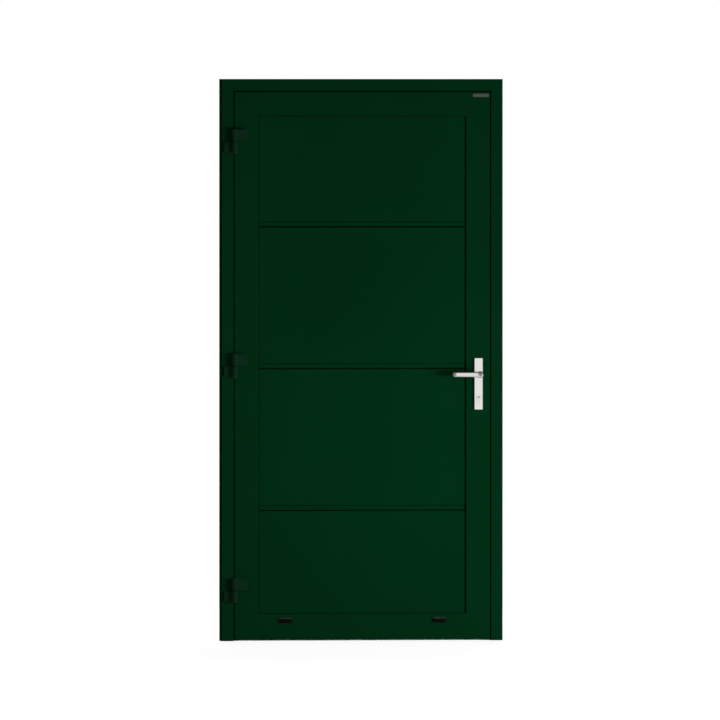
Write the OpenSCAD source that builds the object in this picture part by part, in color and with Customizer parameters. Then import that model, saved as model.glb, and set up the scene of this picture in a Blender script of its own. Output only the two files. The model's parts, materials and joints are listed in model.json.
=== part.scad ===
// Panel door with its frame: a leaf of mitred hollow profiles round four stacked
// sandwich panels, hung on three pin hinges, with a lever handle, latch and dead bolt.
// X runs to the lock side, Y into the building, Z up from the floor.
// The origin is on the floor, at mid width and in the middle plane of the leaf.

/* [Door] */
// Width over the frame
frame_w = 1060; // [850:1:1250]
// Height over the frame
frame_h = 2100; // [1950:1:2400]
// Gap between leaf and frame, seen from the front
leaf_gap = 4; // [4:0.5:7]
// Height of the leaf profiles above the floor
leaf_lift = 12; // [11:0.5:16]

/* [Frame profile] */
// Width of the frame face
frame_face = 44; // [40:1:60]
// Wall of the frame profile
frame_wall = 2; // [1.6:0.1:2.6]
// Thickness of the stop behind the leaf
stop_t = 9; // [8.5:0.5:12]
// Room for the seal between leaf and stop
seal_room = 6; // [5:0.5:8]
// Size of the chamber in the middle of the frame profile
frame_mid = 26; // [22:1:32]

/* [Leaf profile] */
// Depth of the leaf from front to back
leaf_depth = 60; // [58:1:72]
// Width of stiles and rails, seen from the front
stile_face = 90; // [86:1:110]
// Width of the flange round the outside of the leaf
flange_w = 12; // [10:0.5:14]
// Thickness of the flange and of the panel lip
flange_t = 3; // [2.4:0.1:4]
// Width of the lip that holds the panels
lip_w = 20; // [16:1:22]
// Wall of the leaf profile
leaf_wall = 2; // [1.6:0.1:2.4]
// Size of the chamber in the middle of the leaf profile
leaf_mid = 28; // [24:1:32]

/* [Panels] */
// Thickness of the panels
panel_t = 40; // [36:0.5:43]
// Thickness of the gaskets on both sides of the panels
gasket_t = 3; // [2:0.5:4]
// Height of the lowest panel joint above the floor
first_joint_z = 488; // [300:1:560]
// Height of a full panel
panel_pitch = 530; // [480:1:560]
// Width of the gap at a panel joint
joint_gap = 4; // [2:0.5:5]
// Depth of the gap at a panel joint
joint_depth = 8; // [5:0.5:10]
// Height of the bevelled band above a panel joint
band_h = 18; // [12:1:26]
// Fall of the bevelled band towards the joint
band_fall = 1.5; // [0.8:0.1:2.5]

/* [Hinges] */
// Radius of the knuckles
knuckle_r = 12; // [11:0.5:13]
// Radius of the hinge pins
pin_r = 6; // [4:0.5:7]
// Distance of the hinge axis in front of the door face
axis_reach = 15; // [14:0.5:20]
// Width of the leaf flap, from the axis
leaf_flap_w = 48; // [40:1:60]
// Width of the frame flap, from the axis
frame_flap_w = 38.5; // [34:0.5:42]
// Height of the leaf half of a hinge
leaf_half_h = 44; // [38:1:56]
// Height of the frame half of a hinge
frame_half_h = 37; // [32:1:48]
// Height of the lowest hinge, at the split between its halves
low_hinge_z = 188; // [150:1:300]
// Depth of the highest hinge below the top of the frame
top_hinge_drop = 234; // [180:1:320]

/* [Handle] */
// Height of the lever above the floor
lever_z = 995; // [950:1:1080]
// Half the thickness of the lever bar
lever_r = 10; // [9.5:0.5:11]
// Rounding of the edges of the lever bar
lever_soft = 6; // [3:0.5:9]
// Length of the lever, from the spindle to the return leg
lever_len = 98; // [90:1:125]
// Distance of the lever bar in front of the door face
lever_reach = 54; // [50:1:64]
// Radius of the bends in the lever bar
bend_r = 13; // [12:1:18]
// Width of the handle plates
plate_w = 32; // [30:1:38]
// Thickness of the handle plates
plate_t = 9; // [8:0.5:11]

/* [Lock] */
// Depth of the lock cylinder below the lever
lock_drop = 85; // [84:1:94]
// Distance from the front of the faceplate to the spindle
backset = 35; // [33:0.5:36]
// Thickness of the lock case
case_t = 15; // [14:0.5:18]
// Thickness of the faceplate
face_t = 3; // [2.5:0.5:4]
// Width of the faceplate
face_w = 22; // [20:1:26]
// Thickness of the strike plate
strike_t = 2; // [1.5:0.5:2.5]

/* [Fixings] */
// Radius of the wall fixing holes in the jambs
fix_r = 5.25; // [3:0.25:6]
// Height of the lowest fixing hole
fix_low_z = 300; // [250:1:400]
// Distance between the two fixing holes of a pair
fix_pair = 450; // [400:1:500]
// Depth of the highest fixing hole below the top of the frame
fix_top_drop = 300; // [290:1:400]

/* [Hidden] */
$fn = 64;
// Overrun of every cut past the face that it opens
over = 1;
// Radial clearance of pins, journals, plugs and screws
fit = 0.05;
// Clearance of pieces that slide, or that drop into a hollow
slip = 0.3;
// Bevel on the visible edges of the profiles
ease = 0.6;

// Planes that the pieces share
front_y = -leaf_depth / 2;
back_y = leaf_depth / 2;
frame_depth = leaf_depth + seal_room + stop_t;
frame_x0 = -frame_w / 2;
frame_x1 = frame_w / 2;
leaf_x0 = frame_x0 + frame_face + leaf_gap;
leaf_x1 = -leaf_x0;
leaf_z0 = leaf_lift;
leaf_z1 = frame_h - frame_face - leaf_gap;

// Stop and seal of the frame profile
stop_v = frame_depth - stop_t;
seal_inset = 6.5;
seal_u = frame_face + leaf_gap + flange_w + seal_inset;
stop_u = seal_u + seal_inset;
stop_nose = 2;
seal_slot_w = 5;
seal_slot_d = 5;
seal_clear = 0.3;
bulb_r = (seal_room - seal_clear) / 2;
bulb_wall = 1.2;
frame_mid_v0 = (leaf_depth - frame_mid) / 2;
frame_mid_v1 = (leaf_depth + frame_mid) / 2;
// The mitred jambs run on below the floor before they are cut off square
square_end = 2 * stop_u;

// Hollow part of the leaf profile
tube_u = stile_face - lip_w;
leaf_mid_v0 = (leaf_depth - leaf_mid) / 2;
leaf_mid_v1 = (leaf_depth + leaf_mid) / 2;

// Cleats that join the mitred corners
frame_cleat_arm = 95;
leaf_cleat_arm = 140;

// Panels, their room in the leaf and their joints
edge_room = 4;
panel_u = tube_u + edge_room;
panel_v0 = flange_t + gasket_t;
panel_v1 = panel_v0 + panel_t;
panel_x = leaf_x1 - panel_u;
panel_z0 = leaf_z0 + panel_u;
panel_z1 = leaf_z1 - panel_u;
joint_zs = [for (i = [0 : 2]) first_joint_z + i * panel_pitch];
panel_zs = concat([panel_z0], joint_zs, [panel_z1]);
tongue_h = 12;
tongue_w_share = 0.4;
tongue_w = panel_t * tongue_w_share;
tongue_room = 1;
crease_w = 3.6;
crease_d = 3;
top_bevel = 1.5;

// Gaskets, beads and setting blocks
gasket_show = 2;
gasket_hide = 2;
bead_v = panel_v1 + gasket_t;
bead_bevel = 4;
bead_wall = 1.6;
block_len = 80;
block_x_share = 0.6;
block_z_share = 0.3;
block_inset = 5;

// Seal carrier and brush under the leaf
carrier_h = 8;
carrier_d_share = 0.66;
carrier_d = leaf_depth * carrier_d_share;
carrier_wall = 2;
brush_w = 6;
brush_share = 0.55;
brush_y = front_y + carrier_d * brush_share;
brush_slot = 5;
brush_floor_gap = 0.3;

// Caps over the drain slots of the bottom rail
drain_x_share = 0.602;
drain_x = leaf_x1 * drain_x_share;
drain_w = 45;
drain_h = 19;
drain_out = 8;
drain_wall = 1.6;
drain_lip = 3;
drain_round = 4;
drain_slot_w = 30;
drain_slot_r = 3;
drain_z = leaf_z0 + tube_u - leaf_wall - drain_slot_r - slip;
drain_plug = 8;

// Hinge axis and heights
axis_x = -(frame_w / 2 - frame_face - leaf_gap / 2);
axis_y = front_y - axis_reach;
top_hinge_z = frame_h - top_hinge_drop;
hinge_zs = [low_hinge_z, (low_hinge_z + top_hinge_z) / 2, top_hinge_z];
half_gap = 2;
bush_wall = 3;
bush_room = 0.2;
bush_flange = 2 * half_gap - bush_room;
bush_rim = 0.8;
leaf_flap_t = 21;
frame_flap_t = 9;
flap_round = 5;
pin_stop = 3;
cap_h = 3;
cap_edge = 1;
foot_cap_h = 4.5;
foot_cap_r = 8.5;
leaf_screw_x_share = 0.66;
frame_screw_x_share = 0.68;
flap_screw_z_share = 0.27;

// Screws
screw_r = 2.4;
head_r = 4.4;
head_t = 2.6;
socket_r = 1.8;
socket_d = 1.5;
screw_bite = 7;

// Lever, spindle and handle plates
spindle_x = leaf_x1 - flange_w + face_t - backset;
spindle_w = 8;
spindle_fit = 0.1;
lever_y = front_y - lever_reach;
neck_step = 1;
neck_r = lever_r - neck_step;
neck_gap = 12;
neck_y = front_y - plate_t - neck_gap;
neck_tail = 2;
boss_step = 3;
boss_r = lever_r + boss_step;
boss_round = 6;
boss_gap = 0.5;
spindle_end = 9;
set_screw_r = 2;
plate_above = 61.5;
plate_below = 46.5;
plate_round = 2;
plate_bevel = 1.2;
bolt_above = 46;
bolt_below = 38;
bolt_r = 2.5;
bolt_blind = 6;
bore_room = 1;

// Lock case, follower and bolts
lock_z = lever_z - lock_drop;
face_x0 = leaf_x1 - flange_w;
face_x1 = face_x0 + face_t;
case_back = 20;
case_wall = 1.5;
case_x0 = spindle_x - case_back;
case_below = 29;
case_above = 30;
case_z0 = lock_z - case_below;
case_z1 = lever_z + case_above;
hub_r = 8;
arm_r = 16;
arm_w = 5;
bolt_side = 0.5;
bolt_t = case_t - 2 * (case_wall + bolt_side);
latch_low = 8;
latch_high = 26;
latch_gap = 2;
latch_x1 = frame_x1 - frame_face - strike_t - latch_gap;
latch_block = 23;
tail_low = 18;
hook_t = 4;
hook_gap = 0.8;
hook_low = 10;
nose_bevel = 6;
bolt_low = 20;
bolt_high = 40;
bolt_len = 36;
face_past = 40;
face_screw_in = 8;
strike_past = 22;
strike_screw_in = 8;
strike_room = 2;

// Profile cylinder, its plugs and its cam
barrel_r = 8.5;
stem_w = 10;
stem_h = 24.5;
barrel_proud = 2;
barrel_y = leaf_depth / 2 + plate_t + barrel_proud;
plug_r = 6.5;
cam_slot = 10.6;
cam_side = 0.3;
cam_r = 15.4;
cam_w = 7;
cam_hub_r = 8.4;
cam_room = 0.3;
key_w = 10;
key_t = 2.4;
key_d = 28;
cyl_room = 0.4;
plate_cyl_room = 0.15;
cyl_screw_drop = 20;

green = [0.016, 0.160, 0.075];
dark_green = [0.05, 0.14, 0.09];
black = [0.03, 0.03, 0.03];
steel = [0.80, 0.80, 0.79];
zinc = [0.62, 0.63, 0.64];
nickel = [0.74, 0.72, 0.66];
bare = [0.70, 0.71, 0.72];

// Box between two opposite corners
module block(lo, hi) {
    translate(lo) cube(hi - lo);
}

// Round bars along X, Y and Z
module rod_x(y, z, r, x0, x1) {
    translate([x0, y, z]) rotate([0, 90, 0]) cylinder(r = r, h = x1 - x0);
}

module rod_y(x, z, r, y0, y1) {
    translate([x, y1, z]) rotate([90, 0, 0]) cylinder(r = r, h = y1 - y0);
}

module rod_z(x, y, r, z0, z1) {
    translate([x, y, z0]) cylinder(r = r, h = z1 - z0);
}

// Outline drawn in X and Z, with its thickness along Y
module slab_y(y0, y1) {
    translate([0, y1, 0]) rotate([90, 0, 0]) linear_extrude(y1 - y0) children();
}

// Section drawn in Y and Z, carried along X
module bar_x(x0, x1) {
    translate([x0, 0, 0]) rotate([90, 0, 90]) linear_extrude(x1 - x0) children();
}

// Rectangle about the origin with round corners
module round_rect(w, h, r) {
    square([w - 2 * r, h], center = true);
    square([w, h - 2 * r], center = true);
    for (i = [-1, 1], j = [-1, 1]) translate([i * (w / 2 - r), j * (h / 2 - r)]) circle(r = r);
}

// Trapezoid in X and Z that is left of one side when a rectangle's corners are mitred
module mitre_outline(x0, x1, z0, z1, reach, side) {
    in = reach + over;
    left = [[x0 - over, z0 - over], [x0 + in, z0 + in], [x0 + in, z1 - in], [x0 - over, z1 + over]];
    right = [[x1 + over, z0 - over], [x1 - in, z0 + in], [x1 - in, z1 - in], [x1 + over, z1 + over]];
    top = [[x0 - over, z1 + over], [x1 + over, z1 + over], [x1 - in, z1 - in], [x0 + in, z1 - in]];
    bottom = [[x0 - over, z0 - over], [x1 + over, z0 - over], [x1 - in, z0 + in], [x0 + in, z0 + in]];
    if (side == "left") polygon(left);
    if (side == "right") polygon(right);
    if (side == "top") polygon(top);
    if (side == "bottom") polygon(bottom);
}

// Section run along one side of a rectangle: its first axis points inward from the
// outer edge, its second from front to back
module side_run(x0, x1, z0, z1, side) {
    if (side == "left") {
        translate([x0, front_y, z0]) linear_extrude(z1 - z0) children();
    }
    if (side == "right") {
        translate([x1, front_y, z0]) mirror([1, 0, 0]) linear_extrude(z1 - z0) children();
    }
    if (side == "top") {
        translate([x0, front_y, z1]) rotate([0, 90, 0]) linear_extrude(x1 - x0) children();
    }
    if (side == "bottom") {
        translate([x1, front_y, z0]) rotate([0, -90, 0]) linear_extrude(x1 - x0) children();
    }
}

module mitred_side(x0, x1, z0, z1, reach, side, cut_z0) {
    intersection() {
        side_run(x0, x1, z0, z1, side) children();
        slab_y(front_y - over, front_y + frame_depth + over)
            mitre_outline(x0, x1, cut_z0, z1, reach, side);
    }
}

// One member of the three-sided frame, which ends square on the floor
module frame_side(side) {
    mitred_side(frame_x0, frame_x1, 0, frame_h, stop_u, side, -square_end) children();
}

// One member of the leaf, mitred at both ends
module leaf_side(side) {
    mitred_side(leaf_x0, leaf_x1, leaf_z0, leaf_z1, stile_face, side, leaf_z0) children();
}

// Screw with its head at the origin and its shank down, and the hole that it seats in
module screw(length) {
    difference() {
        union() {
            translate([0, 0, -head_t]) cylinder(r = head_r, h = head_t);
            translate([0, 0, -length]) cylinder(r = screw_r, h = length);
        }
        translate([0, 0, -socket_d]) cylinder(r = socket_r, h = socket_d + over, $fn = 6);
    }
}

module screw_hole(length) {
    translate([0, 0, -head_t]) cylinder(r = head_r + fit, h = head_t + over);
    translate([0, 0, -length - over]) cylinder(r = screw_r + fit, h = length + over);
}

// FRAME

// Frame profile: a box of three chambers with a stop leg at the back
module frame_section() {
    difference() {
        polygon([
            [0, ease], [ease, 0], [frame_face - ease, 0], [frame_face, ease],
            [frame_face, stop_v], [stop_u - stop_nose, stop_v], [stop_u, stop_v + stop_nose],
            [stop_u, frame_depth], [0, frame_depth]
        ]);
        frame_chamber(frame_wall, frame_mid_v0 - frame_wall);
        frame_chamber(frame_mid_v0, frame_mid_v1);
        frame_chamber(frame_mid_v1 + frame_wall, frame_depth - frame_wall);
        translate([frame_face - frame_wall - over, stop_v + frame_wall])
            square([seal_u - seal_slot_w / 2 - frame_face + over, stop_t - 2 * frame_wall]);
        translate([seal_u - seal_slot_w / 2, stop_v - over])
            square([seal_slot_w, seal_slot_d + over]);
    }
}

module frame_chamber(v0, v1) {
    translate([frame_wall, v0]) square([frame_face - 2 * frame_wall, v1 - v0]);
}

// Bulb seal with its foot in the slot of the stop
module seal_section() {
    bulb_v = leaf_depth + seal_clear + bulb_r;
    difference() {
        union() {
            translate([seal_u, bulb_v]) circle(r = bulb_r);
            translate([seal_u - seal_slot_w / 2, stop_v]) square([seal_slot_w, seal_slot_d]);
            translate([seal_u - bulb_wall, bulb_v]) square([2 * bulb_wall, stop_v - bulb_v + over]);
        }
        translate([seal_u, bulb_v]) circle(r = bulb_r - bulb_wall);
    }
}

// Heights of the wall fixing holes, in an upper and a lower pair
fix_zs = [
    fix_low_z, fix_low_z + fix_pair,
    frame_h - fix_top_drop - fix_pair, frame_h - fix_top_drop
];

module fixing_holes(x0, x1) {
    for (z = fix_zs) rod_x(0, z, fix_r, x0 - over, x1 + over);
}

module hinge_jamb() {
    color(green) difference() {
        frame_side("left") frame_section();
        fixing_holes(frame_x0, frame_x0 + frame_face);
        frame_screw_places() screw_hole(frame_flap_t + frame_wall + screw_bite);
    }
}

module lock_jamb() {
    wall_x = frame_x1 - frame_face;
    color(green) difference() {
        frame_side("right") frame_section();
        fixing_holes(wall_x, frame_x1);
        strike_openings(wall_x, wall_x + frame_wall, 0);
        strike_screw_places() screw_hole(strike_t + frame_wall + screw_bite);
    }
}

module frame_head() {
    color(green) frame_side("top") frame_section();
}

// Corner cleat: an L in X and Z, in the middle chamber of a mitred corner
module cleat(corner_x, corner_z, dir_x, dir_z, near, width, arm, half) {
    outline = [
        [near, near], [arm, near], [arm, near + width],
        [near + width, near + width], [near + width, arm], [near, arm]
    ];
    slab_y(-half, half) polygon([for (p = outline) [corner_x + dir_x * p[0], corner_z + dir_z * p[1]]]);
}

module frame_corner_cleats() {
    near = frame_wall + slip;
    width = frame_face - 2 * near;
    color(bare) for (s = [-1, 1]) {
        cleat(s * frame_x1, frame_h, -s, -1, near, width, frame_cleat_arm, frame_mid / 2 - slip);
    }
}

module frame_seals() {
    color(black) for (side = ["left", "right", "top"]) frame_side(side) seal_section();
}

// Openings for the latch and the dead bolt, widened by a margin
module strike_openings(x0, x1, margin) {
    half = bolt_t / 2 + strike_room + margin;
    for (zs = [[lever_z + latch_low, lever_z + latch_high], [lock_z + bolt_low, lock_z + bolt_high]]) {
        block([x0 - over, -half, zs[0] - strike_room], [x1 + over, half, zs[1] + strike_room]);
    }
}

strike_z0 = lock_z + bolt_low - strike_past;
strike_z1 = lever_z + latch_high + strike_past;

module strike_screw_places() {
    for (z = [strike_z0 + strike_screw_in, strike_z1 - strike_screw_in]) {
        translate([frame_x1 - frame_face - strike_t, 0, z]) rotate([0, -90, 0]) children();
    }
}

module strike_plate() {
    x1 = frame_x1 - frame_face;
    mid_z = (strike_z0 + strike_z1) / 2;
    color(dark_green) difference() {
        translate([x1 - strike_t, 0, mid_z]) rotate([90, 0, 90]) linear_extrude(strike_t)
            round_rect(face_w, strike_z1 - strike_z0, plate_round);
        strike_openings(x1 - strike_t, x1, 0);
        strike_screw_places() screw_hole(strike_t);
    }
}

module strike_screws() {
    color(zinc) strike_screw_places() screw(strike_t + frame_wall + screw_bite);
}

// HINGES

// Frame half: a knuckle below the split, with a flap on the frame face
module hinge_frame_half(z) {
    z0 = z - half_gap - frame_half_h;
    z1 = z - half_gap;
    color(dark_green) difference() {
        union() {
            rod_z(axis_x, axis_y, knuckle_r, z0, z1);
            flap(axis_x - frame_flap_w, axis_x, frame_flap_t, z0, z1);
            block([axis_x - knuckle_r, axis_y, z0], [axis_x, front_y - frame_flap_t / 2, z1]);
        }
        rod_z(axis_x, axis_y, pin_r + fit, z0 - over, z1 + over);
        frame_screw_places() screw_hole(frame_flap_t + frame_wall + screw_bite);
    }
}

// Flap on the door face, with its outer corners and front edges eased
module flap(x0, x1, t, z0, z1) {
    intersection() {
        translate([(x0 + x1) / 2, 0, (z0 + z1) / 2]) slab_y(front_y - t, front_y)
            round_rect(x1 - x0, z1 - z0, flap_round / 2);
        translate([0, 0, z0 - over]) linear_extrude(z1 - z0 + 2 * over) flap_plan(x0, x1, t);
    }
}

module flap_plan(x0, x1, t) {
    soft = flap_round / 2;
    translate([x0 + soft, front_y - t]) square([x1 - x0 - 2 * soft, t]);
    translate([x0, front_y - t + soft]) square([x1 - x0, t - soft]);
    for (x = [x0 + soft, x1 - soft]) translate([x, front_y - t + soft]) circle(r = soft);
}

// Leaf half: a knuckle above the split with a bored bush seat and a thick flap
module hinge_leaf_half(z) {
    z0 = z + half_gap;
    z1 = z0 + leaf_half_h;
    color(dark_green) difference() {
        union() {
            rod_z(axis_x, axis_y, knuckle_r, z0, z1);
            flap(axis_x + leaf_gap / 2, axis_x + leaf_flap_w, leaf_flap_t, z0, z1);
            block([axis_x, axis_y, z0], [axis_x + knuckle_r, front_y - leaf_gap / 2, z1]);
        }
        rod_z(axis_x, axis_y, pin_r + bush_wall + fit, z0 - over, z1 + over);
        leaf_screw_places() screw_hole(leaf_flap_t + leaf_wall + screw_bite);
    }
}

module hinge_pin(z) {
    color(zinc) rod_z(axis_x, axis_y, pin_r, z - half_gap - frame_half_h + pin_stop,
                      z + half_gap + leaf_half_h - 2 * pin_stop);
}

module hinge_bush(z) {
    z0 = z + half_gap;
    difference() {
        union() {
            rod_z(axis_x, axis_y, pin_r + bush_wall, z0 - bush_flange / 2, z0 + leaf_half_h - pin_stop);
            rod_z(axis_x, axis_y, pin_r + bush_wall + bush_rim, z0 - bush_flange, z0);
        }
        rod_z(axis_x, axis_y, pin_r + fit, z0 - bush_flange - over, z0 + leaf_half_h);
    }
}

module hinge_bushes() {
    color(black) for (z = hinge_zs) hinge_bush(z);
}

module frame_screw_places() {
    for (z = hinge_zs, s = [-1, 1]) {
        mid_z = z - half_gap - frame_half_h / 2;
        translate([axis_x - frame_flap_w * frame_screw_x_share, front_y - frame_flap_t,
                   mid_z + s * frame_half_h * flap_screw_z_share]) rotate([90, 0, 0]) children();
    }
}

module leaf_screw_places() {
    for (z = hinge_zs, s = [-1, 1]) {
        mid_z = z + half_gap + leaf_half_h / 2;
        translate([axis_x + leaf_flap_w * leaf_screw_x_share, front_y - leaf_flap_t,
                   mid_z + s * leaf_half_h * flap_screw_z_share]) rotate([90, 0, 0]) children();
    }
}

module hinge_frame_screws() {
    color(dark_green) frame_screw_places() screw(frame_flap_t + frame_wall + screw_bite);
}

module hinge_leaf_screws() {
    color(dark_green) leaf_screw_places() screw(leaf_flap_t + leaf_wall + screw_bite);
}

// Domed cap on top of each leaf half, with a spigot in the bore
module hinge_top_caps() {
    r = knuckle_r - cap_edge;
    color(dark_green) for (z = hinge_zs) {
        translate([axis_x, axis_y, z + half_gap + leaf_half_h]) {
            rotate_extrude() intersection() {
                translate([0, -dome_drop(r)]) circle(r = dome_r(r));
                square([r, cap_h]);
            }
            translate([0, 0, slip - pin_stop])
                cylinder(r = pin_r + bush_wall, h = pin_stop - slip + cap_edge);
        }
    }
}

// Radius of a dome over a disc of radius r that rises by the cap's height, and how
// far its centre lies below the disc
function dome_r(r) = (r * r + cap_h * cap_h) / (2 * cap_h);
function dome_drop(r) = dome_r(r) - cap_h;

// Turned cap under each frame half, with a spigot in the pin bore
module hinge_foot_caps() {
    color(dark_green) for (z = hinge_zs) {
        translate([axis_x, axis_y, z - half_gap - frame_half_h]) {
            translate([0, 0, -cap_edge]) cylinder(r = foot_cap_r, h = cap_edge);
            translate([0, 0, -foot_cap_h])
                cylinder(r1 = foot_cap_r - cap_edge, r2 = foot_cap_r, h = foot_cap_h - cap_edge);
            translate([0, 0, -cap_edge]) cylinder(r = pin_r, h = pin_stop - slip + cap_edge);
        }
    }
}

// LEAF

// Leaf profile: a box of three chambers, a flange at its outer edge and a lip at its inner edge
module leaf_section() {
    difference() {
        polygon([
            [0, ease], [ease, 0], [stile_face - ease, 0], [stile_face, ease],
            [stile_face, flange_t], [tube_u, flange_t], [tube_u, leaf_depth],
            [flange_w, leaf_depth], [flange_w, flange_t], [0, flange_t]
        ]);
        leaf_chamber(leaf_wall, leaf_mid_v0 - leaf_wall);
        leaf_chamber(leaf_mid_v0, leaf_mid_v1);
        leaf_chamber(leaf_mid_v1 + leaf_wall, leaf_depth - leaf_wall);
    }
}

module leaf_chamber(v0, v1) {
    translate([flange_w + leaf_wall, v0]) square([tube_u - flange_w - 2 * leaf_wall, v1 - v0]);
}

module hinge_stile() {
    color(green) difference() {
        leaf_side("left") leaf_section();
        leaf_screw_places() screw_hole(leaf_flap_t + leaf_wall + screw_bite);
    }
}

module lock_stile() {
    half = case_t / 2 + slip;
    color(green) difference() {
        leaf_side("right") leaf_section();
        block([face_x0 - leaf_wall - over, -half, case_z0 - slip], [face_x0 + over, half, case_z1 + slip]);
        rod_y(spindle_x, lever_z, neck_r + bore_room, front_y - over, back_y + over);
        slab_y(front_y - over, back_y + over) cylinder_outline(cyl_room);
        handle_bolt_holes(front_y - over, back_y + over);
        faceplate_screw_places() screw_hole(face_t + leaf_wall + screw_bite);
    }
}

module top_rail() {
    color(green) leaf_side("top") leaf_section();
}

module bottom_rail() {
    color(green) difference() {
        leaf_side("bottom") leaf_section();
        for (s = [-1, 1]) drain_slot(s * drain_x, drain_slot_r, front_y - over, front_y + leaf_wall + over);
    }
}

module leaf_corner_cleats() {
    near = flange_w + leaf_wall + slip;
    width = tube_u - leaf_wall - slip - near;
    half = leaf_mid / 2 - slip;
    color(bare) for (s = [-1, 1]) {
        cleat(s * leaf_x1, leaf_z1, -s, -1, near, width, leaf_cleat_arm, half);
        cleat(s * leaf_x1, leaf_z0, -s, 1, near, width, leaf_cleat_arm, half);
    }
}

// Hollow strip under the leaf: a foot at the front face and an upstand behind the flange
module seal_carrier() {
    z0 = leaf_z0 - carrier_h;
    back = front_y + carrier_d;
    color(green) difference() {
        union() {
            bar_x(leaf_x0, leaf_x1) carrier_foot(z0, back);
            block([face_x0 * -1, front_y + flange_t + slip, leaf_z0 - carrier_wall],
                  [face_x0, back, leaf_z0 + flange_w]);
        }
        bar_x(leaf_x0 - over, leaf_x1 + over) translate([front_y + flange_t + slip + carrier_wall, leaf_z0])
            square([carrier_d - flange_t - slip - 2 * carrier_wall, flange_w - carrier_wall]);
        block([leaf_x0 - over, brush_y - brush_w / 2, z0 - over],
              [leaf_x1 + over, brush_y + brush_w / 2, z0 + brush_slot]);
    }
}

module carrier_foot(z0, back) {
    polygon([
        [front_y, z0 + ease], [front_y + ease, z0], [back, z0],
        [back, leaf_z0], [front_y, leaf_z0]
    ]);
}

module bottom_brush() {
    z0 = leaf_z0 - carrier_h;
    color(black) block([leaf_x0 + slip, brush_y - brush_w / 2 + slip, brush_floor_gap],
                       [leaf_x1 - slip, brush_y + brush_w / 2 - slip, z0 + brush_slot]);
}

// PANELS

// Edge of a panel at the top: a bevelled skin edge, the gap, a shoulder and the tongue
function panel_top(z) = [
    [panel_v0, z - joint_gap / 2 - top_bevel],
    [panel_v0 + top_bevel, z - joint_gap / 2],
    [panel_v0 + joint_depth, z - joint_gap / 2],
    [panel_v0 + joint_depth, z],
    [tongue_v(-1), z], [tongue_v(-1), z + tongue_h],
    [tongue_v(1), z + tongue_h], [tongue_v(1), z],
    [panel_v1 - joint_depth, z],
    [panel_v1 - joint_depth, z - joint_gap / 2],
    [panel_v1 - top_bevel, z - joint_gap / 2],
    [panel_v1, z - joint_gap / 2 - top_bevel]
];

// Edge of a panel at the bottom: the groove, the gap, the bevelled band above it and a crease
function panel_foot(z) = [
    [panel_v1, z + band_h + crease_w / 2],
    [panel_v1 - crease_d, z + band_h],
    [panel_v1, z + band_h - crease_w / 2],
    [panel_v1 - band_fall, z + joint_gap / 2],
    [panel_v1 - joint_depth, z + joint_gap / 2],
    [panel_v1 - joint_depth, z],
    [tongue_v(1) + slip, z], [tongue_v(1) + slip, z + tongue_h + tongue_room],
    [tongue_v(-1) - slip, z + tongue_h + tongue_room], [tongue_v(-1) - slip, z],
    [panel_v0 + joint_depth, z],
    [panel_v0 + joint_depth, z + joint_gap / 2],
    [panel_v0 + band_fall, z + joint_gap / 2],
    [panel_v0, z + band_h - crease_w / 2],
    [panel_v0 + crease_d, z + band_h],
    [panel_v0, z + band_h + crease_w / 2]
];

function tongue_v(s) = (panel_v0 + panel_v1 + s * tongue_w) / 2;
function plain_top(z) = [[panel_v0, z], [panel_v1, z]];
function plain_foot(z) = [[panel_v1, z], [panel_v0, z]];

// One panel of the stack, counted from the floor
module panel(i) {
    top = i < len(panel_zs) - 2 ? panel_top(panel_zs[i + 1]) : plain_top(panel_zs[i + 1]);
    foot = i > 0 ? panel_foot(panel_zs[i]) : plain_foot(panel_zs[i]);
    color(green) bar_x(-panel_x, panel_x) translate([front_y, 0]) polygon(concat(top, foot));
}

module bottom_panel() { panel(0); }
module lower_panel() { panel(1); }
module upper_panel() { panel(2); }
module top_panel() { panel(3); }

// Blocks that carry the panels on the bottom rail and centre them between the stiles
module setting_blocks() {
    y0 = front_y + panel_v0 + block_inset;
    y1 = front_y + panel_v1 - block_inset;
    color(black) for (s = [-1, 1]) {
        x = s * panel_x * block_x_share;
        block([x - block_len / 2, y0, panel_z0 - edge_room], [x + block_len / 2, y1, panel_z0]);
        for (share = [block_z_share, 1 - block_z_share]) {
            z = panel_z0 + (panel_z1 - panel_z0) * share;
            edge = s > 0 ? panel_x : -panel_x - edge_room;
            block([edge, y0, z - block_len / 2], [edge + edge_room, y1, z + block_len / 2]);
        }
    }
}

// Ring of gasket between a lip or a bead and the panels
module gasket_ring(v0, v1) {
    out = tube_u + gasket_hide;
    in = stile_face + gasket_show;
    slab_y(front_y + v0, front_y + v1) difference() {
        leaf_window(out);
        leaf_window(in);
    }
}

// Rectangle that lies inside the leaf's outer edge by an inset all round
module leaf_window(inset) {
    translate([leaf_x0 + inset, leaf_z0 + inset])
        square([leaf_x1 - leaf_x0 - 2 * inset, leaf_z1 - leaf_z0 - 2 * inset]);
}

module outer_gasket() {
    color(black) gasket_ring(flange_t, panel_v0);
}

module inner_gasket() {
    color(black) gasket_ring(panel_v1, bead_v);
}

// Hollow glazing bead on the inside, with a bevelled edge
module bead_section() {
    back_v = leaf_depth;
    difference() {
        polygon([
            [tube_u, bead_v], [stile_face, bead_v], [stile_face, back_v - bead_bevel],
            [stile_face - bead_bevel, back_v], [tube_u, back_v]
        ]);
        polygon([
            [tube_u + bead_wall, bead_v + bead_wall],
            [stile_face - bead_wall, bead_v + bead_wall],
            [stile_face - bead_wall, back_v - bead_bevel - bead_wall / 2],
            [stile_face - bead_bevel - bead_wall / 2, back_v - bead_wall],
            [tube_u + bead_wall, back_v - bead_wall]
        ]);
    }
}

module hinge_side_bead() { color(green) leaf_side("left") bead_section(); }
module lock_side_bead() { color(green) leaf_side("right") bead_section(); }
module top_bead() { color(green) leaf_side("top") bead_section(); }
module bottom_bead() { color(green) leaf_side("bottom") bead_section(); }

// DRAIN CAPS

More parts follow.
